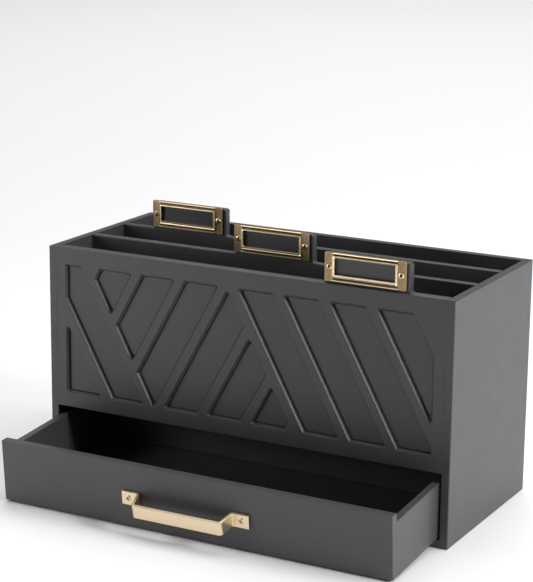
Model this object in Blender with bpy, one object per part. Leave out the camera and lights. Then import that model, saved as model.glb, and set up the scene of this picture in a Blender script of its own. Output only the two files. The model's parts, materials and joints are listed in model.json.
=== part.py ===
"""Desk organizer: three upright compartments with label tabs over one wide drawer.

Frame: metres, +Z up, +X to the right along the front, the front faces -Y.
The origin is the centre of the underside, on the surface that the case stands on.
The drawer stands pulled out by PULL and rests nose down by TILT, as it does in use.
"""
from math import cos, pi, radians, sin, sqrt, tan

import bmesh
import bpy
from mathutils import Matrix, Vector

# ---------------------------------------------------------------- driving dimensions
WIDTH = 0.300
DEPTH = 0.131
HEIGHT = 0.162
BOARD = 0.0055          # painted fibreboard of the case and the dividers
GAP = 0.0003            # clearance between two pieces that touch
EDGE = 0.0007           # eased arris of every board
BAY_TOP = 0.0495        # underside of the front above the drawer bay

# front: a lattice on a backing board
LATTICE_T = 0.0030
MARGIN_X = 0.0129
LATTICE_TOP = 0.1509
LATTICE_BOTTOM = 0.0598
LEAN = 0.549            # sideways run of a bar for each metre that it rises
PITCH = 0.0332          # bar to bar, measured level
OPENING = 0.0267        # opening between two bars, measured level
CORNER_R = 0.0018       # corner of an opening at the front
WALL_RUN = 0.0013       # how far its walls slope in towards the backing board

# compartments
DIVIDER_FRONT_Y = 0.0450    # front face of each divider, behind the case's front
DIVIDER_REAR_Y = 0.0860
FLOOR_BOTTOM = 0.0483       # underside of the compartment floor

# label tabs and holders
TAB_W = 0.0588
TAB_RISE = 0.0193
TAB_STEP = 0.0892           # from one tab to the next, across the case
TAB_X = -0.0003             # middle of the middle tab
HOLDER_X = -0.0012          # middle of a holder from the middle of its tab
HOLDER_W = 0.0568
HOLDER_H = 0.0192
HOLDER_RISE = 0.0012        # holder's lower edge above the case's top
HOLDER_Z = HEIGHT + HOLDER_RISE + HOLDER_H / 2
PLATE_T = 0.0012            # flat ends of the holder
RIM_W = 0.0456              # raised rim around the window
RIM_H = 0.0184
RIM_T = 0.0024
WINDOW_W = 0.0420
WINDOW_H = 0.0106
WINDOW_RISE = 0.0006        # middle of the window above the middle of the holder
HOLDER_SCREWS = 0.0500      # between the two screws
PILOT_R = 0.0012
PILOT_DEPTH = 0.0040

# drawer, in its own frame: y from the closed front's outer face, z from its underside
DRAWER_W = 0.2858
DRAWER_D = 0.1240
FRONT_H = 0.0427
FRONT_T = 0.0060
SIDE_H = 0.0370
SIDE_T = 0.0050
BOTTOM_T = 0.0030
GLIDE_Z = 0.0063            # height of the drawer's underside over the desk
GLIDE_Y = 0.0030            # line on which the drawer slides and rocks, behind the front
GLIDE_X = 0.1250            # glide buttons, either side of the middle
GLIDE_R = 0.0040
GLIDE_T = 0.0012
GLIDE_SEAT = 0.0015         # depth of their recesses in the bay floor
PULL = 0.0660
TILT = radians(4.4)

# handle
HANDLE_X = -0.0014
HANDLE_Z = 0.0207           # middle of its feet
HANDLE_H = 0.0090
HANDLE_T = 0.0018
HANDLE_OUT = 0.0128
HANDLE_SPAN = 0.0934
GRIP_SPAN = 0.0640
LEG_RUN = 0.0022            # sideways run of each leg
HANDLE_SAG = 0.27           # drop of the legs for each metre that they stand out
HANDLE_LEAN = 0.058         # share by which its upper edge stands further out than its middle
HANDLE_SCREWS = 0.0831
HANDLE_HOLE_R = 0.0017
HANDLE_PILOT = 0.0045       # depth of the pilot holes in the drawer's front

FRONT_Y = -DEPTH / 2
SIDE_X = WIDTH / 2 - BOARD          # inner face of the case's sides


# ---------------------------------------------------------------- materials
def material(name, colour, roughness, metallic=0.0):
    mat = bpy.data.materials.new(name)
    mat.use_nodes = True
    shader = mat.node_tree.nodes["Principled BSDF"]
    shader.inputs["Base Color"].default_value = (*colour, 1.0)
    shader.inputs["Roughness"].default_value = roughness
    shader.inputs["Metallic"].default_value = metallic
    return mat


# ---------------------------------------------------------------- shape helpers
def new_object(name, bm, mat):
    bmesh.ops.recalc_face_normals(bm, faces=bm.faces)
    mesh = bpy.data.meshes.new(name)
    bm.to_mesh(mesh)
    bm.free()
    mesh.materials.append(mat)
    obj = bpy.data.objects.new(name, mesh)
    bpy.context.collection.objects.link(obj)
    return obj


def ease(obj, width=EDGE, segments=1):
    """Break the piece's sharp edges."""
    mod = obj.modifiers.new("eased_edges", "BEVEL")
    mod.width = width
    mod.segments = segments
    mod.limit_method = "ANGLE"
    mod.angle_limit = radians(40)
    return obj


def box(name, low, high, mat):
    bm = bmesh.new()
    bmesh.ops.create_cube(bm, size=1.0)
    centre = [(a + b) / 2 for a, b in zip(low, high)]
    size = [b - a for a, b in zip(low, high)]
    for vert in bm.verts:
        vert.co = Vector([c + s * v for c, s, v in zip(centre, size, vert.co)])
    return new_object(name, bm, mat)


def prism(name, outline, near, far, mat, place):
    """Extrude a closed outline between two offsets; place(u, v, w) gives the point."""
    bm = bmesh.new()
    ends = [[bm.verts.new(place(u, v, w)) for u, v in outline] for w in (near, far)]
    bm.faces.new(ends[0])
    bm.faces.new(list(reversed(ends[1])))
    count = len(outline)
    for i in range(count):
        j = (i + 1) % count
        bm.faces.new((ends[0][j], ends[0][i], ends[1][i], ends[1][j]))
    return new_object(name, bm, mat)


def upright(u, v, w):
    """An outline drawn in x and z, extruded along y."""
    return (u, w, v)


def level(u, v, w):
    """An outline drawn in x and y, extruded along z."""
    return (u, v, w)


def arc(centre, radius, start, end, steps):
    angles = [start + (end - start) * i / steps for i in range(steps + 1)]
    return [(centre[0] + radius * cos(a), centre[1] + radius * sin(a)) for a in angles]


def rounded_rectangle(low, high, radius, steps=3):
    (x0, z0), (x1, z1) = low, high
    corners = [(x1 - radius, z1 - radius), (x0 + radius, z1 - radius),
               (x0 + radius, z0 + radius), (x1 - radius, z0 + radius)]
    points = []
    for quarter, centre in enumerate(corners):
        points += arc(centre, radius, quarter * pi / 2, (quarter + 1) * pi / 2, steps)
    return points


def lathe(name, profile, mat, sides=16):
    """Turn (radius, height) points, both ends on the axis, about local z."""
    bm = bmesh.new()
    rings = []
    for radius, height in profile:
        if radius == 0:
            rings.append([bm.verts.new((0, 0, height))])
            continue
        rings.append([bm.verts.new((radius * cos(2 * pi * i / sides),
                                    radius * sin(2 * pi * i / sides), height))
                      for i in range(sides)])
    for lower, upper in zip(rings, rings[1:]):
        for i in range(sides):
            j = (i + 1) % sides
            if len(lower) == 1:
                bm.faces.new((lower[0], upper[i], upper[j]))
            elif len(upper) == 1:
                bm.faces.new((lower[i], upper[0], lower[j]))
            else:
                bm.faces.new((lower[i], upper[i], upper[j], lower[j]))
    obj = new_object(name, bm, mat)
    obj.data.shade_smooth()
    obj.data.set_sharp_from_angle(angle=radians(40))
    return obj


def cut(obj, cutter, operation="DIFFERENCE"):
    """Boolean with a helper solid, which is no part of the model."""
    cutter.hide_render = True
    cutter.display_type = "WIRE"
    mod = obj.modifiers.new(operation.lower(), "BOOLEAN")
    mod.operation = operation
    mod.object = cutter
    mod.solver = "EXACT"


def bore(obj, centre, radius, near, far, parent=None):
    """Drill a round hole along y."""
    ring = arc(centre, radius, 0, 2 * pi, 16)[:-1]
    drill = prism("bore_cutter", ring, near, far, obj.data.materials[0], upright)
    drill.parent = parent
    cut(obj, drill)


# ---------------------------------------------------------------- case
def make_case(paint):
    rear_y = DEPTH / 2
    for side, name in ((-1, "left_side"), (1, "right_side")):
        inner, outer = side * SIDE_X, side * WIDTH / 2
        ease(box(name, (min(inner, outer), FRONT_Y, 0),
                 (max(inner, outer), rear_y, HEIGHT), paint))
    half = SIDE_X - GAP
    ease(box("rear_panel", (-half, rear_y - BOARD, 0), (half, rear_y, HEIGHT), paint))
    floor_back = rear_y - BOARD - GAP
    bay_floor = ease(box("bay_floor", (-half, FRONT_Y, 0), (half, floor_back, BOARD), paint))
    for x in (-GLIDE_X, GLIDE_X):
        ring = arc((x, FRONT_Y + GLIDE_Y + GLIDE_R), GLIDE_R + 0.0005, 0, 2 * pi, 16)[:-1]
        cut(bay_floor, prism("seat_cutter", ring, BOARD - GLIDE_SEAT, BOARD + 0.001,
                             paint, level))
    floor_front = FRONT_Y + LATTICE_T + BOARD + GAP
    ease(box("compartment_floor", (-half, floor_front, FLOOR_BOTTOM),
             (half, floor_back, FLOOR_BOTTOM + BOARD), paint))


def tab_outline(centre, bottom, half_width):
    """A panel's outline with one label tab standing on its upper edge."""
    corner, root = 0.0020, 0.0015
    left, right = centre - TAB_W / 2, centre + TAB_W / 2
    crest = HEIGHT + TAB_RISE
    points = [(-half_width, bottom), (half_width, bottom), (half_width, HEIGHT)]
    points += arc((right + root, HEIGHT + root), root, 1.5 * pi, pi, 3)
    points += arc((right - corner, crest - corner), corner, 0, pi / 2, 3)
    points += arc((left + corner, crest - corner), corner, pi / 2, pi, 3)
    points += arc((left - root, HEIGHT + root), root, 0, -pi / 2, 3)
    points.append((-half_width, HEIGHT))
    return points


def make_tabbed_panel(name, centre, bottom, front_y, paint):
    outline = tab_outline(centre, bottom, SIDE_X - GAP)
    panel = prism(name, outline, front_y, front_y + BOARD, paint, upright)
    for side in (-1, 1):
        bore(panel, (centre + HOLDER_X + side * HOLDER_SCREWS / 2, HOLDER_Z), PILOT_R,
             front_y - 0.001, front_y + PILOT_DEPTH)
    return ease(panel)


# ---------------------------------------------------------------- lattice
def clip(polygon, point, normal):
    """Keep the part of a convex polygon on the side that normal points to."""
    kept = []
    for i, here in enumerate(polygon):
        after = polygon[(i + 1) % len(polygon)]
        inside = (here[0] - point[0]) * normal[0] + (here[1] - point[1]) * normal[1]
        ahead = (after[0] - point[0]) * normal[0] + (after[1] - point[1]) * normal[1]
        if inside >= 0:
            kept.append(here)
        if inside * ahead < 0:
            share = inside / (inside - ahead)
            kept.append((here[0] + share * (after[0] - here[0]),
                         here[1] + share * (after[1] - here[1])))
    return kept


def bar_edge(x_top, way, keep):
    """A slanted limit through x_top at the lattice's top edge.

    way is +1 where it runs right as it falls and -1 where it runs left; keep is +1
    where the opening lies to its right and -1 where it lies to its left."""
    length = sqrt(1 + LEAN ** 2)
    return (x_top, LATTICE_TOP), (keep / length, keep * way * LEAN / length)


def openings():
    """The limits of each opening: three fields of parallel slots."""
    start = -0.1184         # left limit of the middle field
    split = -0.0112         # its right limit
    fields = []
    fields.append([bar_edge(-0.1585, 1, -1)])
    fields.append([bar_edge(-0.1503, 1, 1), bar_edge(-0.1239, 1, -1)])
    for i in range(6):
        left = -0.1093 + PITCH * i
        fields.append([bar_edge(left, -1, 1), bar_edge(left + OPENING, -1, -1),
                       bar_edge(start, 1, 1), bar_edge(split, 1, -1)])
    for i in range(4):
        left = -0.0036 + PITCH * i
        fields.append([bar_edge(left, 1, 1), bar_edge(left + OPENING, 1, -1)])
    return fields


def opening_ring(limits, radius, steps=3):
    """Outline of one opening, its corners swept by a cutter of the given radius.

    The cutter's centre keeps CORNER_R inside every limit, so the outlines of two radii
    have the same number of points and make a sloping wall between them."""
    half = SIDE_X - MARGIN_X + BOARD - CORNER_R
    polygon = [(-half, LATTICE_BOTTOM + CORNER_R), (half, LATTICE_BOTTOM + CORNER_R),
               (half, LATTICE_TOP - CORNER_R), (-half, LATTICE_TOP - CORNER_R)]
    for point, normal in limits:
        moved = (point[0] + normal[0] * CORNER_R, point[1] + normal[1] * CORNER_R)
        polygon = clip(polygon, moved, normal)
    ring = []
    count = len(polygon)
    for i, corner in enumerate(polygon):
        before = Vector(corner) - Vector(polygon[i - 1])
        after = Vector(polygon[(i + 1) % count]) - Vector(corner)
        start = Vector((before.y, -before.x)).normalized()
        turn = before.angle_signed(after)
        for k in range(steps + 1):
            angle = abs(turn) * k / steps
            ring.append((corner[0] + radius * (start.x * cos(angle) - start.y * sin(angle)),
                         corner[1] + radius * (start.x * sin(angle) + start.y * cos(angle))))
    return ring


def make_lattice(paint):
    thick = LATTICE_T - GAP
    half = SIDE_X - GAP
    plate = ease(box("front_lattice", (-half, FRONT_Y, BAY_TOP),
                     (half, FRONT_Y + thick, HEIGHT), paint))
    slope = WALL_RUN / thick
    bm = bmesh.new()
    for limits in openings():
        rings = []
        for depth in (-0.0006, thick + 0.0006):
            ring = opening_ring(limits, CORNER_R - slope * depth)
            rings.append([bm.verts.new((x, FRONT_Y + depth, z)) for x, z in ring])
        bm.faces.new(rings[0])
        bm.faces.new(list(reversed(rings[1])))
        count = len(rings[0])
        for i in range(count):
            j = (i + 1) % count
            bm.faces.new((rings[0][j], rings[0][i], rings[1][i], rings[1][j]))
    cut(plate, new_object("lattice_cutter", bm, paint))


# ---------------------------------------------------------------- label holders
def make_screw(name, head_r, head_h, shank_r, length, mat):
    """A domed screw: its head stands on local z = 0 and its shank runs down from it."""
    profile = [(0, -length), (shank_r, -length), (shank_r, 0), (head_r, 0),
               (head_r * 0.98, head_h * 0.35), (head_r * 0.72, head_h * 0.82), (0, head_h)]
    return lathe(name, profile, mat, sides=12)


def centred_rectangle(centre, width, height, radius, rise=0.0):
    """Outline of a holder's part; rise lifts it above the holder's middle."""
    middle = HOLDER_Z + rise
    return rounded_rectangle((centre - width / 2, middle - height / 2),
                             (centre + width / 2, middle + height / 2), radius)


def make_holder(place, centre, front_y, brass):
    """Card frame: a flat plate with a raised rim around its window."""
    face = front_y - GAP
    holder = prism("label_holder_" + place,
                   centred_rectangle(centre, HOLDER_W, HOLDER_H, 0.0015),
                   face - PLATE_T, face, brass, upright)
    cut(holder, prism("rim_cutter", centred_rectangle(centre, RIM_W, RIM_H, 0.0008),
                      face - RIM_T, face - PLATE_T / 2, brass, upright), "UNION")
    window = centred_rectangle(centre, WINDOW_W, WINDOW_H, 0.0006, WINDOW_RISE)
    cut(holder, prism("window_cutter", window, face - 2 * RIM_T, face + RIM_T, brass, upright))
    for side, hand in ((-1, "left"), (1, "right")):
        x = centre + side * HOLDER_SCREWS / 2
        bore(holder, (x, HOLDER_Z), PILOT_R, face - RIM_T, face + RIM_T)
        screw = make_screw(f"label_screw_{place}_{hand}", 0.0021, 0.0011,
                           PILOT_R - GAP, PLATE_T + PILOT_DEPTH - GAP, brass)
        screw.location = (x, face - PLATE_T - GAP, HOLDER_Z)
        screw.rotation_euler = (pi / 2, 0, 0)


# ---------------------------------------------------------------- drawer
def make_glides(nylon, pivot):
    """Two nylon buttons let into the bay floor; the drawer slides and rocks on them."""
    for side, name in ((-1, "drawer_glide_left"), (1, "drawer_glide_right")):
        profile = [(0, -GAP - GLIDE_T), (GLIDE_R, -GAP - GLIDE_T), (GLIDE_R, -GAP - 0.0004),
                   (GLIDE_R - 0.0006, -GAP), (0, -GAP)]
        glide = lathe(name, profile, nylon)
        glide.parent = pivot
        glide.location = (side * GLIDE_X, GLIDE_R, 0)


def make_drawer(paint, pivot):
    """The drawer's five boards in its own frame, hung on the pivot and pulled out."""
    front = -GLIDE_Y - PULL
    back = front + DRAWER_D
    behind = front + FRONT_T + GAP
    half = DRAWER_W / 2
    inner = half - SIDE_T
    between = inner - GAP
    boards = {
        "drawer_front": ((-half, front, 0), (half, front + FRONT_T, FRONT_H)),
        "drawer_left_side": ((-half, behind, 0), (-inner, back, SIDE_H)),
        "drawer_right_side": ((inner, behind, 0), (half, back, SIDE_H)),
        "drawer_back": ((-between, back - SIDE_T, BOTTOM_T + GAP), (between, back, SIDE_H)),
        "drawer_bottom": ((-between, behind, 0), (between, back, BOTTOM_T))}
    for name, (low, high) in boards.items():
        board = box(name, low, high, paint)
        board.parent = pivot
        if name == "drawer_front":
            for side in (-1, 1):
                bore(board, (HANDLE_X + side * HANDLE_SCREWS / 2, HANDLE_Z), HANDLE_HOLE_R,
                     front - 0.001, front + HANDLE_PILOT, pivot)
        ease(board, 0.0004 if name == "drawer_bottom" else EDGE)


# ---------------------------------------------------------------- handle
def bend(before, corner, after, side):
    """The strap's face round one corner of its centre line; side picks the face."""
    way, onward = (corner - before).normalized(), (after - corner).normalized()
    turn = -way.angle_signed(onward)
    hand = 1 if turn > 0 else -1
    radius = HANDLE_T               # bending radius of the centre line
    start = corner - way * radius * tan(abs(turn) / 2)
    centre = start + Vector((-way.y, way.x)) * radius * hand
    spoke = (start - centre).normalized() * (radius - side * hand * HANDLE_T / 2)
    steps = 3
    return [centre + Matrix.Rotation(turn * k / steps, 2) @ spoke for k in range(steps + 1)]


def strap_outline(front):
    """Plan of the handle about its middle: a strap bent out from two feet into a grip."""
    foot, grip = HANDLE_SPAN / 2, GRIP_SPAN / 2
    seat = front - HANDLE_T / 2
    out = front - HANDLE_OUT + HANDLE_T / 2
    line = [Vector(point) for point in
            ((-foot, seat), (-grip - LEG_RUN, seat), (-grip, out),
             (grip, out), (grip + LEG_RUN, seat), (foot, seat))]
    faces = []
    for side in (1, -1):
        face = [line[0] + Vector((0, side * HANDLE_T / 2))]
        for before, corner, after in zip(line, line[1:], line[2:]):
            face += bend(before, corner, after, side)
        face.append(line[-1] + Vector((0, side * HANDLE_T / 2)))
        faces.append([tuple(point) for point in face])
    return faces[0] + faces[1][::-1]


def make_handle(gold, pivot):
    """The strap, its legs sagging as they stand out and its grip leaning with them."""
    front = -GLIDE_Y - PULL - GAP
    bm = bmesh.new()
    rings = []
    for edge in (-1, 1):
        rings.append([bm.verts.new((HANDLE_X + x, front + (y - front) * (1 + edge * HANDLE_LEAN),
                                    HANDLE_Z + edge * HANDLE_H / 2 + (y - front) * HANDLE_SAG))
                      for x, y in strap_outline(front)])
    bm.faces.new(rings[0])
    bm.faces.new(list(reversed(rings[1])))
    count = len(rings[0])
    walls = [bm.faces.new((rings[0][(i + 1) % count], rings[0][i], rings[1][i],
                           rings[1][(i + 1) % count])) for i in range(count)]
    bmesh.ops.triangulate(bm, faces=walls)
    handle = new_object("drawer_handle", bm, gold)
    handle.parent = pivot
    for side, hand in ((-1, "left"), (1, "right")):
        x = HANDLE_X + side * HANDLE_SCREWS / 2
        bore(handle, (x, HANDLE_Z), HANDLE_HOLE_R, front - 0.01, front + 0.01, pivot)
        screw = make_screw(f"handle_screw_{hand}", 0.0026, 0.0013, HANDLE_HOLE_R - GAP,
                           HANDLE_T + HANDLE_PILOT - GAP, gold)
        screw.parent = pivot
        screw.location = (x, front - HANDLE_T - GAP, HANDLE_Z)
        screw.rotation_euler = (pi / 2, 0, 0)
    ease(handle, 0.0003)


# ---------------------------------------------------------------- assembly
def main():
    for obj in list(bpy.data.objects):
        bpy.data.objects.remove(obj, do_unlink=True)
    paint = material("case_paint", (0.060, 0.060, 0.063), 0.45)
    drawer_paint = material("drawer_paint", (0.060, 0.060, 0.063), 0.45)
    brass = material("antique_brass", (0.52, 0.38, 0.20), 0.35, 1.0)
    gold = material("brushed_gold", (0.78, 0.60, 0.36), 0.32, 1.0)
    nylon = material("nylon", (0.03, 0.03, 0.03), 0.5)

    make_case(paint)
    make_lattice(paint)
    panels = (("front", "front_panel", 1, BAY_TOP, LATTICE_T),
              ("middle", "divider_front", 0, FLOOR_BOTTOM + BOARD + GAP, DIVIDER_FRONT_Y),
              ("rear", "divider_rear", -1, FLOOR_BOTTOM + BOARD + GAP, DIVIDER_REAR_Y))
    for place, name, step, bottom, depth in panels:
        tab = TAB_X + step * TAB_STEP
        make_tabbed_panel(name, tab, bottom, FRONT_Y + depth, paint)
        make_holder(place, tab + HOLDER_X, FRONT_Y + depth, brass)

    pivot = bpy.data.objects.new("drawer_pivot", None)
    bpy.context.collection.objects.link(pivot)
    pivot.location = (0, FRONT_Y + GLIDE_Y, GLIDE_Z)
    pivot.rotation_euler = (TILT, 0, 0)
    make_glides(nylon, pivot)
    make_drawer(drawer_paint, pivot)
    make_handle(gold, pivot)
    bpy.context.view_layer.update()


main()
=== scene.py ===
"""Looks of the desk organizer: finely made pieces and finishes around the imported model.

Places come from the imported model's own boxes and joints. The case's pieces are built in
the shared frame, and the drawer's in the drawer's own tilted frame.
"""
import json
from math import atan2, cos, pi, radians, sin, sqrt, tan

import bmesh
import bpy
from mathutils import Matrix, Quaternion, Vector


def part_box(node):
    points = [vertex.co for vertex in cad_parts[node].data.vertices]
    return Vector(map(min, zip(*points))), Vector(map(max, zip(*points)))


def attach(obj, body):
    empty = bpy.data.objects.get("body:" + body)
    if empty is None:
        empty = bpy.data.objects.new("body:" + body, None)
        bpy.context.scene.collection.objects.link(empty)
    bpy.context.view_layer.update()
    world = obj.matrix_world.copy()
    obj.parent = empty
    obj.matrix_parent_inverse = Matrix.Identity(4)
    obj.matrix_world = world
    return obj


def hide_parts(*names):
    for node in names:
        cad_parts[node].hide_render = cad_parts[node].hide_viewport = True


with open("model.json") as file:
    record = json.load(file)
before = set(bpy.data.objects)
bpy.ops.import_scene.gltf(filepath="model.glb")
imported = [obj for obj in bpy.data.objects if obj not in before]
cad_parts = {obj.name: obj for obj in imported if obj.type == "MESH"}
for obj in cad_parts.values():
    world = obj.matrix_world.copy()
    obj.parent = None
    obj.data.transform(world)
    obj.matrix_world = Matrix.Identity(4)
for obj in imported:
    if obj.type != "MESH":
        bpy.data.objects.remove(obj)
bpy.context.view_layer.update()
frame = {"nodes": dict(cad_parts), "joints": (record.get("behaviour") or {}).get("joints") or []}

# ---------------------------------------------------------------- sizes that repeat
JOINT = 0.00002             # seam left between two pieces that are glued together
GAP = 0.0003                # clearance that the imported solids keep
SEAM_R = 0.00012            # rounding of an edge along a seam
FINE_R = 0.0004             # rounding of the case's inner edges
ARRIS_R = 0.0006            # rounding of the outer edges
LIMIT_R = 0.0008            # radius that stands for a bevel weight of one

# front relief, as the case's front board has it
LATTICE_TOP = 0.1509
LATTICE_BOTTOM = 0.0598
LEAN = 0.549                # sideways run of a bar for each metre that it rises
PITCH = 0.0332
OPENING = 0.0267
CORNER_R = 0.0018
BORDER = 0.0074             # plain strip left at each end of the relief
WALL_RISE = 0.0004          # how far a cutter passes the faces that it cuts through

# hardware
HOLDER_SCREWS = 0.0500
TAB_X = 0.0012              # middle of a tab from the middle of its holder
TAB_HALF = 0.0294           # half of a tab's width
PANEL_R = 0.0007            # rounding of a tabbed panel's edges
HANDLE_X = -0.0014          # middle of the handle
HANDLE_H = 0.0090
HANDLE_T = 0.0018
GRIP_SPAN = 0.0640
LEG_RUN = 0.0022            # sideways run of each leg
HANDLE_SAG = 0.27           # drop of the legs for each metre that they stand out
HANDLE_LEAN = 0.058         # share by which its upper edge stands further out
HANDLE_SCREWS = 0.0831


# ---------------------------------------------------------------- frames
def slide_tilt():
    """The drawer's slope at rest, from the direction in which it slides."""
    slide = next(j for j in frame["joints"] if j["name"] == "drawer_slide")
    return atan2(-slide["axis"][2], -slide["axis"][1])


TILT = slide_tilt()
HINGE = next(j for j in frame["joints"] if j["name"] == "drawer_tilt")
DRAWER = Matrix.Translation(HINGE["pos_m"]) @ Matrix.Rotation(TILT, 4, "X")
CASE = Matrix.Identity(4)


def box_in(node, place):
    """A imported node's lowest and highest corner in one of the two frames."""
    inverse = place.inverted()
    points = [inverse @ v.co for v in frame["nodes"][node].data.vertices]
    low = Vector([min(p[i] for p in points) for i in range(3)])
    high = Vector([max(p[i] for p in points) for i in range(3)])
    return low, high


# ---------------------------------------------------------------- shader helpers
def linear(red, green, blue):
    """Scene colour of an sRGB triple from 0 to 255."""
    channels = []
    for value in (red, green, blue):
        share = value / 255
        channels.append(share / 12.92 if share <= 0.04045 else ((share + 0.055) / 1.055) ** 2.4)
    return (*channels, 1.0)


class Shader:
    """A Principled material and short calls for the nodes that feed it."""

    def __init__(self, name, **sockets):
        self.mat = bpy.data.materials.new(name)
        self.mat.use_nodes = True
        self.tree = self.mat.node_tree
        self.bsdf = self.tree.nodes["Principled BSDF"]
        for socket, value in sockets.items():
            self.bsdf.inputs[socket.replace("_", " ")].default_value = value
        self.coords = self.tree.nodes.new("ShaderNodeTexCoord").outputs["Object"]

    def link(self, source, target):
        self.tree.links.new(source, target)

    def mapped(self, scale):
        node = self.tree.nodes.new("ShaderNodeMapping")
        node.inputs["Scale"].default_value = scale
        self.link(self.coords, node.inputs["Vector"])
        return node.outputs["Vector"]

    def noise(self, scale, detail=3.0, roughness=0.5, vector=None):
        node = self.tree.nodes.new("ShaderNodeTexNoise")
        node.inputs["Scale"].default_value = scale
        node.inputs["Detail"].default_value = detail
        node.inputs["Roughness"].default_value = roughness
        self.link(vector or self.coords, node.inputs["Vector"])
        return node.outputs["Fac"]

    def attribute(self, name):
        """A number that the mesh stores at its points."""
        node = self.tree.nodes.new("ShaderNodeAttribute")
        node.attribute_name = name
        return node.outputs["Fac"]

    def ramp(self, factor, low, high, start=0.0, end=1.0):
        """Maps factor from low..high to start..end, held at both ends."""
        node = self.tree.nodes.new("ShaderNodeMapRange")
        for socket, value in zip(("From Min", "From Max", "To Min", "To Max"),
                                 (low, high, start, end)):
            node.inputs[socket].default_value = value
        self.link(factor, node.inputs["Value"])
        return node.outputs["Result"]

    def mix(self, factor, first, second):
        node = self.tree.nodes.new("ShaderNodeMix")
        node.data_type = "RGBA"
        for socket, value in (("Factor_Float", factor), ("A_Color", first), ("B_Color", second)):
            target = next(s for s in node.inputs if s.identifier == socket)
            if hasattr(value, "default_value"):
                self.link(value, target)
            else:
                target.default_value = value
        return next(s for s in node.outputs if s.identifier == "Result_Color")

    def bump(self, height, distance, strength=1.0, below=None):
        node = self.tree.nodes.new("ShaderNodeBump")
        node.inputs["Distance"].default_value = distance
        node.inputs["Strength"].default_value = strength
        self.link(height, node.inputs["Height"])
        if below:
            self.link(below, node.inputs["Normal"])
        return node.outputs["Normal"]

    def feed(self, **sources):
        for socket, source in sources.items():
            self.link(source, self.bsdf.inputs[socket.replace("_", " ")])


# ---------------------------------------------------------------- materials
def charcoal_paint(name, tone):
    """Sprayed satin paint on fibreboard: faint orange peel, mottling and rubbed spots."""
    s = Shader(name, Roughness=0.38, IOR=1.5, Specular_IOR_Level=0.5)
    mottle = s.ramp(s.noise(28, 4, 0.6), 0.3, 0.7)
    fibre = s.ramp(s.noise(1400, 2, 0.6), 0.35, 0.65)
    base = s.mix(mottle, linear(tone, tone, tone + 2), linear(tone + 3, tone + 3, tone + 5))
    speck = s.mix(s.ramp(fibre, 0.0, 1.0, 0.0, 0.15), base, linear(82, 82, 84))
    peel = s.noise(650, 2, 0.5)
    grain = s.noise(2600, 2, 0.6)
    rough = s.ramp(s.noise(60, 3, 0.6), 0.3, 0.7, 0.36, 0.41)
    s.feed(Base_Color=speck, Roughness=rough,
           Normal=s.bump(grain, 0.00001, 0.5, s.bump(peel, 0.00003, 0.5)))
    return s.mat


def antique_brass():
    """Stamped and antiqued brass: patina with painted shade in its hollows, rubbed wear with a
    painted highlight where it stands proud.
    """
    s = Shader("antique_brass", Metallic=1.0, Roughness=0.34)
    cloud = s.ramp(s.noise(300, 3, 0.6), 0.3, 0.7)
    fleck = s.ramp(s.noise(1500, 2, 0.6), 0.3, 0.7)
    # painted highlight: raised parts take a lighter brass, partly rubbed wear and partly painted
    # highlight
    proud = s.mix(cloud, linear(248, 230, 198), linear(236, 214, 178))
    flat = s.mix(fleck, linear(184, 162, 126), linear(154, 132, 98))
    hollow = s.attribute("hollow")
    colour = s.mix(s.ramp(hollow, 0.05, 0.45), proud, flat)
    # painted shade: the deepest points, such as grooves and screw recesses, turn dark brown,
    # patina deepened by painted shade
    colour = s.mix(s.ramp(hollow, 0.6, 0.9), colour, linear(70, 50, 28))
    scratch = s.noise(1.0, 3, 0.6, s.mapped((900, 900, 5200)))
    rough = s.ramp(s.noise(900, 3, 0.6), 0.3, 0.7, 0.28, 0.40)
    s.feed(Base_Color=colour, Roughness=rough, Normal=s.bump(scratch, 0.00001, 0.5))
    return s.mat


def brushed_gold():
    """Champagne gold strap, brushed along its length; painted shade darkens the recesses of its
    screws.
    """
    s = Shader("brushed_gold", Metallic=1.0, Roughness=0.34)
    streak = s.noise(1.0, 4, 0.65, s.mapped((60, 6500, 6500)))
    colour = s.mix(s.ramp(streak, 0.3, 0.7), linear(228, 208, 174), linear(238, 220, 190))
    # painted shade: dark brown in the screws' cross recesses
    colour = s.mix(s.ramp(s.attribute("hollow"), 0.3, 0.7), colour, linear(64, 42, 22))
    rough = s.ramp(streak, 0.3, 0.7, 0.30, 0.42)
    s.feed(Base_Color=colour, Roughness=rough, Normal=s.bump(streak, 0.00002, 0.35))
    return s.mat


def nylon():
    """Dark moulded nylon."""
    s = Shader("nylon", Roughness=0.5)
    cloud = s.ramp(s.noise(500, 3, 0.5), 0.3, 0.7)
    s.feed(Base_Color=s.mix(cloud, linear(46, 46, 47), linear(56, 56, 57)),
           Normal=s.bump(s.noise(3000, 2, 0.5), 0.00001, 0.5))
    return s.mat


CASE_PAINT = charcoal_paint("case_paint", 61)
# painted light: the drawer takes a lighter copy of the case's paint, standing for the brighter
# light on its front
LIGHTER_DRAWER_PAINT = charcoal_paint("drawer_paint", 68)
BRASS = antique_brass()
GOLD = brushed_gold()
NYLON = nylon()


# ---------------------------------------------------------------- shape helpers
def mesh_object(name, bm, mat, place=CASE):
    bmesh.ops.recalc_face_normals(bm, faces=bm.faces)
    mesh = bpy.data.meshes.new(name)
    bm.to_mesh(mesh)
    bm.free()
    mesh.materials.append(mat)
    obj = bpy.data.objects.new(name, mesh)
    bpy.context.scene.collection.objects.link(obj)
    obj.matrix_world = place
    return obj


def seat(obj, body, slot, *nodes):
    """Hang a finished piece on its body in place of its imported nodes."""
    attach(obj, body)
    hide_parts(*nodes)


def smooth(obj, angle=35):
    obj.data.shade_smooth()
    obj.data.set_sharp_from_angle(angle=radians(angle))
    even = obj.modifiers.new("even_normals", "WEIGHTED_NORMAL")
    even.keep_sharp = True
    even.weight = 100


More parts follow.
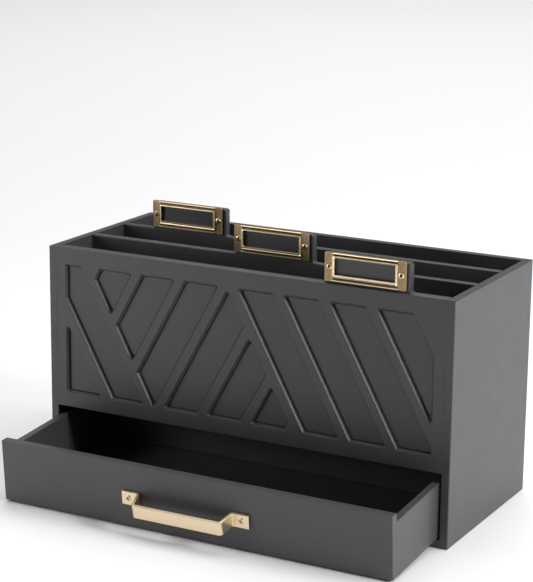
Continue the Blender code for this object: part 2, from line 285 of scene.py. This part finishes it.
def bevel(obj, width, segments=3, by_weight=False):
    mod = obj.modifiers.new("rounded_edges", "BEVEL")
    mod.width = width
    mod.segments = segments
    mod.limit_method = "WEIGHT" if by_weight else "ANGLE"
    mod.angle_limit = radians(40)


def settle(obj):
    """Turn the piece's modifiers into its mesh, and drop their helper solids."""
    graph = bpy.context.evaluated_depsgraph_get()
    mesh = bpy.data.meshes.new_from_object(obj.evaluated_get(graph))
    helpers = [m.object for m in obj.modifiers if m.type == "BOOLEAN"]
    obj.modifiers.clear()
    obj.data = mesh
    for helper in helpers:
        bpy.data.objects.remove(helper, do_unlink=True)


def boolean(obj, helper, operation="DIFFERENCE"):
    mod = obj.modifiers.new(operation.lower(), "BOOLEAN")
    mod.operation = operation
    mod.object = helper
    mod.solver = "EXACT"


FACES = {"left": (-1, 0, 0), "right": (1, 0, 0), "front": (0, -1, 0),
         "back": (0, 1, 0), "under": (0, 0, -1), "top": (0, 0, 1)}


def board(name, low, high, mat, place=CASE, **radii):
    """A board whose edges are rounded one by one.

    radii names an edge by its two faces, such as front_top=ARRIS_R; every edge that
    isn't named is a seam."""
    bm = bmesh.new()
    bmesh.ops.create_cube(bm, size=1.0)
    weight = bm.edges.layers.float.new("bevel_weight_edge")
    for edge in bm.edges:
        faces = {key for key, way in FACES.items()
                 for face in edge.link_faces if face.normal.dot(Vector(way)) > 0.5}
        radius = SEAM_R
        for key, value in radii.items():
            if set(key.split("_")) == faces:
                radius = value
        edge[weight] = radius / LIMIT_R
    for vert in bm.verts:
        vert.co = Vector([(a + b) / 2 + (b - a) * v for a, b, v in zip(low, high, vert.co)])
    obj = mesh_object(name, bm, mat, place)
    bevel(obj, LIMIT_R, 4, by_weight=True)
    return obj


def loft(bm, rings, closed_ends=True):
    """Join rings of equal length into a tube, capped at both ends or closed on itself."""
    made = [[bm.verts.new(point) for point in ring] for ring in rings]
    count = len(made[0])
    pairs = list(zip(made, made[1:]))
    if not closed_ends:
        pairs.append((made[-1], made[0]))
    for near, far in pairs:
        for i in range(count):
            j = (i + 1) % count
            bm.faces.new((near[i], near[j], far[j], far[i]))
    if closed_ends:
        bm.faces.new(list(reversed(made[0])))
        bm.faces.new(made[-1])


def arc(centre, radius, start, end, steps):
    angles = [start + (end - start) * i / steps for i in range(steps + 1)]
    return [(centre[0] + radius * cos(a), centre[1] + radius * sin(a)) for a in angles]


def rounded_rectangle(low, high, radius, steps=6):
    (x0, z0), (x1, z1) = low, high
    corners = [(x1 - radius, z1 - radius), (x0 + radius, z1 - radius),
               (x0 + radius, z0 + radius), (x1 - radius, z0 + radius)]
    points = []
    for quarter, centre in enumerate(corners):
        points += arc(centre, radius, quarter * pi / 2, (quarter + 1) * pi / 2, steps)
    return points


# ---------------------------------------------------------------- case
def touching(node, sides):
    """A board's packed box, widened on the named sides so that it meets its neighbours."""
    low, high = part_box(node)
    reach = GAP - JOINT
    for side in sides:
        way = Vector(FACES[side])
        if min(way) < 0:
            low += way * reach
        else:
            high += way * reach
    return low, high


def make_case():
    both = ("left", "right")
    for side, other in (both, both[::-1]):
        node = side + "_side"
        low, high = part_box(node)
        outer = {f"{side}_{face}": ARRIS_R for face in ("front", "back", "top")}
        outer[f"{side}_under"] = FINE_R
        inner = {f"{other}_top": FINE_R}
        ends = {"front_top": ARRIS_R, "back_top": ARRIS_R,
                "front_under": FINE_R, "back_under": FINE_R}
        obj = board(node + "_board", low, high, CASE_PAINT, **outer, **inner, **ends)
        smooth(obj)
        seat(obj, "case", "case_paint", node)

    plain = {
        "rear_panel": (both, {"back_top": ARRIS_R, "front_top": FINE_R, "back_under": FINE_R}),
        "bay_floor": (both + ("back",), {"front_under": FINE_R, "front_top": FINE_R}),
        "compartment_floor": (both + ("back", "front"), {})}
    for node, (sides, radii) in plain.items():
        low, high = touching(node, sides)
        obj = board(node + "_board", low, high, CASE_PAINT, **radii)
        smooth(obj)
        seat(obj, "case", "case_paint", node)


def tab_outline(low, high, top, left, right):
    """A panel with one label tab on its upper edge: a fillet at each root, rounded tips."""
    tip, root, steps = 0.0020, 0.0015, 6
    points = [(low[0], low[1]), (high[0], low[1]), (high[0], top)]
    points += arc((right + root, top + root), root, 1.5 * pi, pi, steps)
    points += arc((right - tip, high[1] - tip), tip, 0, pi / 2, steps)
    points += arc((left + tip, high[1] - tip), tip, pi / 2, pi, steps)
    points += arc((left - root, top + root), root, 0, -pi / 2, steps)
    points.append((low[0], top))
    return points


def make_tabbed_panel(node, place, reach):
    """A panel with its tab behind the label holder of the same place."""
    low, high = touching(node, ("left", "right") + reach)
    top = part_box("left_side")[1].z
    holder_low, holder_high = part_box("label_holder_" + place)
    centre = (holder_low.x + holder_high.x) / 2 + TAB_X
    outline = tab_outline((low.x, low.z), (high.x, high.z), top,
                          centre - TAB_HALF, centre + TAB_HALF)
    bm = bmesh.new()
    loft(bm, [[(x, y, z) for x, z in outline] for y in (low.y, high.y)])
    obj = mesh_object(node + "_board", bm, CASE_PAINT)
    bevel(obj, PANEL_R)
    if node == "front_panel":
        boolean(obj, channel_cutter(low.y, high.x))
        settle(obj)
    smooth(obj)
    seat(obj, "case", "case_paint", node)


# ---------------------------------------------------------------- lattice
def clip(polygon, point, normal):
    """Keep the part of a convex polygon on the side that normal points to."""
    kept = []
    for i, here in enumerate(polygon):
        after = polygon[(i + 1) % len(polygon)]
        inside = (here[0] - point[0]) * normal[0] + (here[1] - point[1]) * normal[1]
        ahead = (after[0] - point[0]) * normal[0] + (after[1] - point[1]) * normal[1]
        if inside >= 0:
            kept.append(here)
        if inside * ahead < 0:
            share = inside / (inside - ahead)
            kept.append((here[0] + share * (after[0] - here[0]),
                         here[1] + share * (after[1] - here[1])))
    return kept


def bar_edge(x_top, way, keep):
    """A slanted limit through x_top at the lattice's top edge.

    way is +1 where it runs right as it falls and -1 where it runs left; keep is +1
    where the opening lies to its right and -1 where it lies to its left."""
    length = sqrt(1 + LEAN ** 2)
    return (x_top, LATTICE_TOP), (keep / length, keep * way * LEAN / length)


def openings():
    """The limits of each opening: three fields of parallel slots."""
    start = -0.1184         # left limit of the middle field
    split = -0.0112         # its right limit
    fields = [[bar_edge(-0.1585, 1, -1)],
              [bar_edge(-0.1503, 1, 1), bar_edge(-0.1239, 1, -1)]]
    for i in range(6):
        left = -0.1093 + PITCH * i
        fields.append([bar_edge(left, -1, 1), bar_edge(left + OPENING, -1, -1),
                       bar_edge(start, 1, 1), bar_edge(split, 1, -1)])
    for i in range(4):
        left = -0.0036 + PITCH * i
        fields.append([bar_edge(left, 1, 1), bar_edge(left + OPENING, 1, -1)])
    return fields


def opening_corners(limits, reach, clear=CORNER_R):
    """The path of the centre of a round cutter that stays clear of an opening's limits.

    reach is the lattice's half width."""
    half = reach - BORDER - clear
    low, high = LATTICE_BOTTOM + clear, LATTICE_TOP - clear
    polygon = [(-half, low), (half, low), (half, high), (-half, high)]
    for point, normal in limits:
        moved = (point[0] + normal[0] * clear, point[1] + normal[1] * clear)
        polygon = clip(polygon, moved, normal)
    return [Vector(corner) for corner in polygon]


def swept_ring(corners, radius, steps=5):
    """The outline that a cutter of this radius leaves as it goes round the corners."""
    ring = []
    for i, corner in enumerate(corners):
        before = corner - corners[i - 1]
        after = corners[(i + 1) % len(corners)] - corner
        start = Vector((before.y, -before.x)).normalized() * radius
        turn = abs(before.angle_signed(after))
        ring += [corner + Matrix.Rotation(turn * k / steps, 2) @ start
                 for k in range(steps + 1)]
    return ring


def wall_profile(thick):
    """(depth, inset from the nominal edge) down an opening's moulded wall.

    A rounded lip, a slope, a small bead on a ledge, and the foot."""
    lip, bead, ledge = 0.0005, 0.0004, 0.0011
    rows = [(-WALL_RISE, -lip / 2)]
    rows += [(lip * (1 - cos(a)), lip * (sin(a) - 0.5))
             for a in (pi / 2 * k / 6 for k in range(1, 7))]
    rows += [(ledge - 0.0001, 0.00054), (ledge, 0.00064)]
    rows += [(ledge + bead * (1 - cos(a)), 0.0008 + bead * sin(a))
             for a in (pi / 2 * k / 6 for k in range(7))]
    return rows + [(thick + WALL_RISE, 0.0013)]


def make_lattice():
    low, high = touching("front_lattice", ("left", "right"))
    plate = board("front_lattice_board", low, high, CASE_PAINT,
                  front_top=ARRIS_R, front_under=FINE_R)
    bm = bmesh.new()
    for limits in openings():
        corners = opening_corners(limits, high.x)
        loft(bm, [[(p.x, low.y + depth, p.y) for p in swept_ring(corners, CORNER_R - inset)]
                  for depth, inset in wall_profile(high.y - low.y)])
    boolean(plate, mesh_object("lattice_cutter", bm, CASE_PAINT))
    settle(plate)
    smooth(plate)
    seat(plate, "case", "case_paint", "front_lattice")


def channel_cutter(face_y, reach):
    """Cuts the dark groove that runs round the foot of each opening's wall."""
    clear = 0.0030
    rows = [(-0.0006, 0.0011), (0.0, 0.0011), (0.0006, 0.0012), (0.0006, 0.0016),
            (0.0, 0.0019), (-0.0006, 0.0019)]
    bm = bmesh.new()
    for limits in openings():
        corners = opening_corners(limits, reach, clear)
        loft(bm, [[(p.x, face_y + depth, p.y) for p in swept_ring(corners, clear - inset)]
                  for depth, inset in rows], closed_ends=False)
    return mesh_object("channel_cutter", bm, CASE_PAINT)


# ---------------------------------------------------------------- hardware
def plus_outline(reach, half):
    """A cross with four equal arms."""
    quarter = [(half, half), (half, reach), (-half, reach)]
    return [Matrix.Rotation(k * pi / 2, 2) @ Vector(point)
            for k in range(4) for point in quarter]


def screw_mesh(head_r, head_h, mat):
    """A domed head with a cross recess; its seat is local z = 0."""
    steps, sides = 8, 40
    profile = [(head_r * 0.55, -0.0006), (head_r * 0.96, -0.0006), (head_r, 0.00008)]
    for k in range(1, steps + 1):
        angle = k / steps * pi / 2
        profile.append((head_r * cos(angle), 0.0001 + (head_h - 0.0001) * sin(angle)))
    profile[-1] = (head_r * 0.02, head_h)
    bm = bmesh.new()
    loft(bm, [[(r * cos(2 * pi * i / sides), r * sin(2 * pi * i / sides), z)
               for i in range(sides)] for r, z in profile])
    head = mesh_object("screw", bm, mat)
    bm = bmesh.new()
    loft(bm, [[(x, y, z) for x, y in plus_outline(head_r * reach, head_r * half)]
              for z, reach, half in ((head_h - 0.0012, 0.34, 0.12),
                                     (head_h - 0.0004, 0.52, 0.20),
                                     (head_h + 0.0002, 0.66, 0.24))])
    boolean(head, mesh_object("recess_cutter", bm, mat))
    settle(head)
    smooth(head, 50)
    settle(head)
    mesh = head.data
    # the depth in the cross recess feeds the painted shade that the materials put there
    mark_hollows(mesh, lambda co: (0.7 * head_h - co.z) / (0.3 * head_h)
                 if co.x * co.x + co.y * co.y < 0.5 * head_r * head_r else 0.0)
    bpy.data.objects.remove(head, do_unlink=True)
    return mesh


def make_screw(name, mesh, point, turn, place, body, slot, node):
    """A screw whose head faces the front of its frame, turned about its own axis."""
    obj = bpy.data.objects.new(name, mesh)
    bpy.context.scene.collection.objects.link(obj)
    obj.matrix_world = (place @ Matrix.Translation(point) @ Matrix.Rotation(pi / 2, 4, "X")
                        @ Matrix.Rotation(radians(turn), 4, "Z"))
    seat(obj, body, slot, node)


def mark_hollows(mesh, depth_of):
    """Store at each point how far it lies in a hollow, from 0 for proud to 1 for deep."""
    layer = mesh.attributes.new("hollow", "FLOAT", "POINT")
    for i, vert in enumerate(mesh.vertices):
        layer.data[i].value = min(max(depth_of(vert.co), 0.0), 1.0)


def solid_loft(name, rings, mat, closed_ends=True):
    bm = bmesh.new()
    loft(bm, rings, closed_ends)
    return mesh_object(name, bm, mat)


def window_moulding(window, outer, back):
    """The raised band round a holder's window, hollowed a little between two ridges."""
    rows = [(0.0, -0.0002), (0.0, 0.0019), (0.06, 0.0022), (0.16, 0.00235), (0.28, 0.0023),
            (0.45, 0.00210), (0.62, 0.00210), (0.78, 0.00228), (0.88, 0.00238),
            (0.95, 0.0023), (1.0, 0.0019), (1.0, 0.0006)]
    rings = []
    for share, height in rows:
        low, high = [[a + (b - a) * share for a, b in zip(inner, edge)]
                     for inner, edge in zip(window, outer)]
        ring = rounded_rectangle(low, high, 0.0006 + 0.0005 * share)
        rings.append([(x, back - height, z) for x, z in ring])
    return solid_loft("moulding", rings, BRASS, closed_ends=False)


def bead_bar(left, right, low, high, back):
    """A half-round bead that runs along a holder's upper or lower edge."""
    section = [(0.0, 0.0006), (0.0, 0.0014), (0.12, 0.00175), (0.32, 0.0020),
               (0.68, 0.0020), (0.88, 0.00175), (1.0, 0.0014), (1.0, 0.0006)]
    return solid_loft("bead", [[(x, back - height, low + (high - low) * share)
                                for share, height in section] for x in (left, right)], BRASS)


def make_holder(place, mesh, turns):
    """A stamped card frame: hollowed flanges at the ends and a moulding between them."""
    node = "label_holder_" + place
    low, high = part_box(node)
    centre, middle = (low.x + high.x) / 2, (low.z + high.z) / 2
    back, plate_t, rim = high.y, 0.0012, 0.0228
    window = (centre - 0.0210, low.z + 0.0049), (centre + 0.0210, low.z + 0.0155)
    band = (centre - rim, low.z + 0.0027), (centre + rim, low.z + 0.0172)
    outline = rounded_rectangle((low.x, low.z), (high.x, high.z), 0.0012)
    holder = solid_loft(node + "_frame", [[(x, y, z) for x, z in outline]
                                          for y in (back, back - plate_t)], BRASS)
    bevel(holder, 0.00035)
    for end in (low.x, high.x):
        side = 1 if end > centre else -1
        near, far = sorted((end - side * 0.0007, centre + side * (rim + 0.0004)))
        rings = []
        for depth, grow in ((-0.0004, 0.0003), (0.0, 0.0001), (0.00022, -0.0002)):
            ring = rounded_rectangle((near - grow, low.z + 0.0007 - grow),
                                     (far + grow, high.z - 0.0007 + grow), 0.0008)
            rings.append([(x, back - plate_t + depth, z) for x, z in ring])
        boolean(holder, solid_loft("pan_cutter", rings, BRASS))
    left, right = centre - rim, centre + rim
    boolean(holder, bead_bar(left, right, low.z + 0.0003, low.z + 0.0015, back), "UNION")
    boolean(holder, bead_bar(left, right, high.z - 0.0012, high.z - 0.0004, back), "UNION")
    hole = rounded_rectangle(*window, 0.0006)
    boolean(holder, solid_loft("window_cutter", [[(x, y, z) for x, z in hole]
                                                 for y in (back + 0.001, back - 0.004)], BRASS))
    boolean(holder, window_moulding(window, band, back), "UNION")
    for bottom, top in ((low.z + 0.0017, low.z + 0.0026), (high.z - 0.0019, high.z - 0.0013)):
        section = [(bottom, 0.0011), (bottom + 0.0002, 0.0006), (top - 0.0002, 0.0006),
                   (top, 0.0011), (top, 0.0030), (bottom, 0.0030)]
        boolean(holder, solid_loft("groove_cutter", [[(x, back - height, z)
                                                      for z, height in section]
                                                     for x in (left + GAP, right - GAP)], BRASS))
    settle(holder)
    smooth(holder)
    # the depth below the raised band feeds the brass's patina and painted shade
    mark_hollows(holder.data, lambda co: (0.0017 - (back - co.y)) / 0.0011)
    seat(holder, "case", "antique_brass", node)
    for side, hand, turn in ((-1, "left", turns[0]), (1, "right", turns[1])):
        name = f"label_screw_{place}_{hand}"
        point = (centre + side * HOLDER_SCREWS / 2, back - plate_t, middle)
        make_screw(name + "_head", mesh, point, turn, CASE, "case", "antique_brass", name)


# ---------------------------------------------------------------- drawer
def make_drawer():
    spec = {
        "drawer_front": (("back",), {key: ARRIS_R for key in (
            "front_top", "front_under", "front_left", "front_right",
            "left_top", "right_top", "back_top", "left_under", "right_under")}),
        "drawer_left_side": (("front",), {"left_top": FINE_R, "right_top": FINE_R,
                                          "left_back": FINE_R, "back_top": FINE_R,
                                          "left_under": FINE_R}),
        "drawer_right_side": (("front",), {"left_top": FINE_R, "right_top": FINE_R,
                                           "right_back": FINE_R, "back_top": FINE_R,
                                           "right_under": FINE_R}),
        "drawer_back": (("left", "right", "under"), {"front_top": FINE_R, "back_top": FINE_R}),
        "drawer_bottom": (("left", "right"), {"back_under": FINE_R})}
    for node, (sides, radii) in spec.items():
        low, high = box_in(node, DRAWER)
        for side in sides:
            way = Vector(FACES[side]) * (GAP / 2 - JOINT)
            if min(FACES[side]) < 0:
                low += way
            else:
                high += way
        obj = board(node + "_board", low, high, LIGHTER_DRAWER_PAINT, DRAWER, **radii)
        smooth(obj)
        seat(obj, "drawer", "drawer_paint", node)


def bend(before, corner, after, side, thick, steps=8):
    """The strap's face round one corner of its centre line; side picks the face."""
    way, onward = (corner - before).normalized(), (after - corner).normalized()
    turn = -way.angle_signed(onward)
    hand = 1 if turn > 0 else -1
    start = corner - way * thick * tan(abs(turn) / 2)
    centre = start + Vector((-way.y, way.x)) * thick * hand
    spoke = (start - centre).normalized() * (thick - side * hand * thick / 2)
    return [centre + Matrix.Rotation(turn * k / steps, 2) @ spoke for k in range(steps + 1)]


def make_handle(mesh):
    """A flat strap bent out from two feet, its legs sagging down to a leaning grip."""
    low, high = box_in("drawer_handle", DRAWER)
    front, middle_z = high.y, high.z - HANDLE_H / 2
    half, grip = (high.x - low.x) / 2, GRIP_SPAN / 2
    clear = 0.00005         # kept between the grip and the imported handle's outer face
    seat_y = -HANDLE_T / 2
    out_y = (low.y - front) / (1 + HANDLE_LEAN) + HANDLE_T / 2 + clear
    line = [Vector(p) for p in ((-half, seat_y), (-grip - LEG_RUN, seat_y), (-grip, out_y),
                                (grip, out_y), (grip + LEG_RUN, seat_y), (half, seat_y))]
    faces = []
    for side in (1, -1):
        across = Vector((0, side * HANDLE_T / 2))
        face = [line[0] + across]
        for before, corner, after in zip(line, line[1:], line[2:]):
            face += bend(before, corner, after, side, HANDLE_T)
        faces.append(face + [line[-1] + across])
    outline = faces[0] + faces[1][::-1]
    bm = bmesh.new()
    loft(bm, [[(HANDLE_X + p.x, front + p.y * (1 + edge * HANDLE_LEAN),
                middle_z + edge * HANDLE_H / 2 + p.y * HANDLE_SAG) for p in outline]
              for edge in (-1, 1)])
    bm.transform(DRAWER)
    handle = mesh_object("drawer_handle_strap", bm, GOLD)
    bevel(handle, 0.0003)
    smooth(handle)
    seat(handle, "drawer", "brushed_gold", "drawer_handle")
    for side, hand, turn in ((-1, "left", 20), (1, "right", -35)):
        name = "handle_screw_" + hand
        point = (HANDLE_X + side * HANDLE_SCREWS / 2, front - HANDLE_T, middle_z)
        make_screw(name + "_head", mesh, point, turn, DRAWER, "drawer", "brushed_gold", name)


# ---------------------------------------------------------------- studio
def make_floor():
    bm = bmesh.new()
    bmesh.ops.create_grid(bm, x_segments=1, y_segments=1, size=4.0)
    s = Shader("studio_floor", Roughness=0.6)
    s.feed(Base_Color=s.mix(s.ramp(s.noise(2, 2), 0.3, 0.7),
                            (0.93, 0.93, 0.93, 1), (0.94, 0.94, 0.94, 1)))
    floor = mesh_object("floor", bm, s.mat)
    floor.location.z = -0.0002


def soft_light(name, place, aim, size, power):
    light = bpy.data.lights.new(name, "AREA")
    light.shape = "RECTANGLE"
    light.size, light.size_y = size
    light.energy = power
    obj = bpy.data.objects.new(name, light)
    obj.location = place
    obj.rotation_euler = (Vector(aim) - Vector(place)).to_track_quat("-Z", "Y").to_euler()
    bpy.context.scene.collection.objects.link(obj)


def make_studio():
    make_floor()
    world = bpy.data.worlds.new("studio")
    bpy.context.scene.world = world
    world.use_nodes = True
    world.node_tree.nodes["Background"].inputs["Color"].default_value = (1, 1, 1, 1)
    world.node_tree.nodes["Background"].inputs["Strength"].default_value = 0.08
    middle = (0, 0, 0.08)
    soft_light("ceiling", (0.3, 1.5, 4.0), (0.3, 1.5, 0), (5, 5), 175)
    soft_light("backdrop", (-1.6, 3.2, 3.0), (-1.6, 3.2, 0), (3, 3), 44)
    soft_light("side", (1.63, 0.25, 0.99), middle, (1, 1), 14)
    soft_light("grazing", (1.66, -0.235, 0.93), middle, (0.28, 0.28), 15)
    soft_light("fill", (-0.6, -0.55, 0.3), (-0.08, -0.06, 0.1), (0.3, 0.3), 1.7)
    bpy.context.scene.view_settings.view_transform = "Standard"


def make_camera():
    camera = bpy.data.cameras.new("camera")
    camera.lens = 120.25
    camera.sensor_width = 36.0
    camera.clip_start, camera.clip_end = 0.05, 20.0
    obj = bpy.data.objects.new("camera", camera)
    obj.location = (0.5945, -1.1317, 0.4547)
    aim = Vector((-0.01652, -0.00016, 0.13300))
    roll = Quaternion((0, 0, 1), radians(0.589))
    look = (aim - obj.location).to_track_quat("-Z", "Y")
    obj.rotation_mode = "QUATERNION"
    obj.rotation_quaternion = look @ roll
    bpy.context.scene.collection.objects.link(obj)
    bpy.context.scene.camera = obj


# ---------------------------------------------------------------- assembly
def main():
    make_case()
    make_tabbed_panel("front_panel", "front", ("front",))
    make_tabbed_panel("divider_front", "middle", ("under",))
    make_tabbed_panel("divider_rear", "rear", ("under",))
    make_lattice()
    label_screw = screw_mesh(0.0021, 0.0011, BRASS)
    for place, turns in (("front", (15, 40)), ("middle", (-20, 65)), ("rear", (30, 5))):
        make_holder(place, label_screw, turns)
    make_drawer()
    make_handle(screw_mesh(0.0020, 0.0009, GOLD))
    for node in ("drawer_glide_left", "drawer_glide_right"):
        glide = frame["nodes"][node]
        glide.data.materials.clear()
        glide.data.materials.append(NYLON)
    make_studio()
    make_camera()


main()
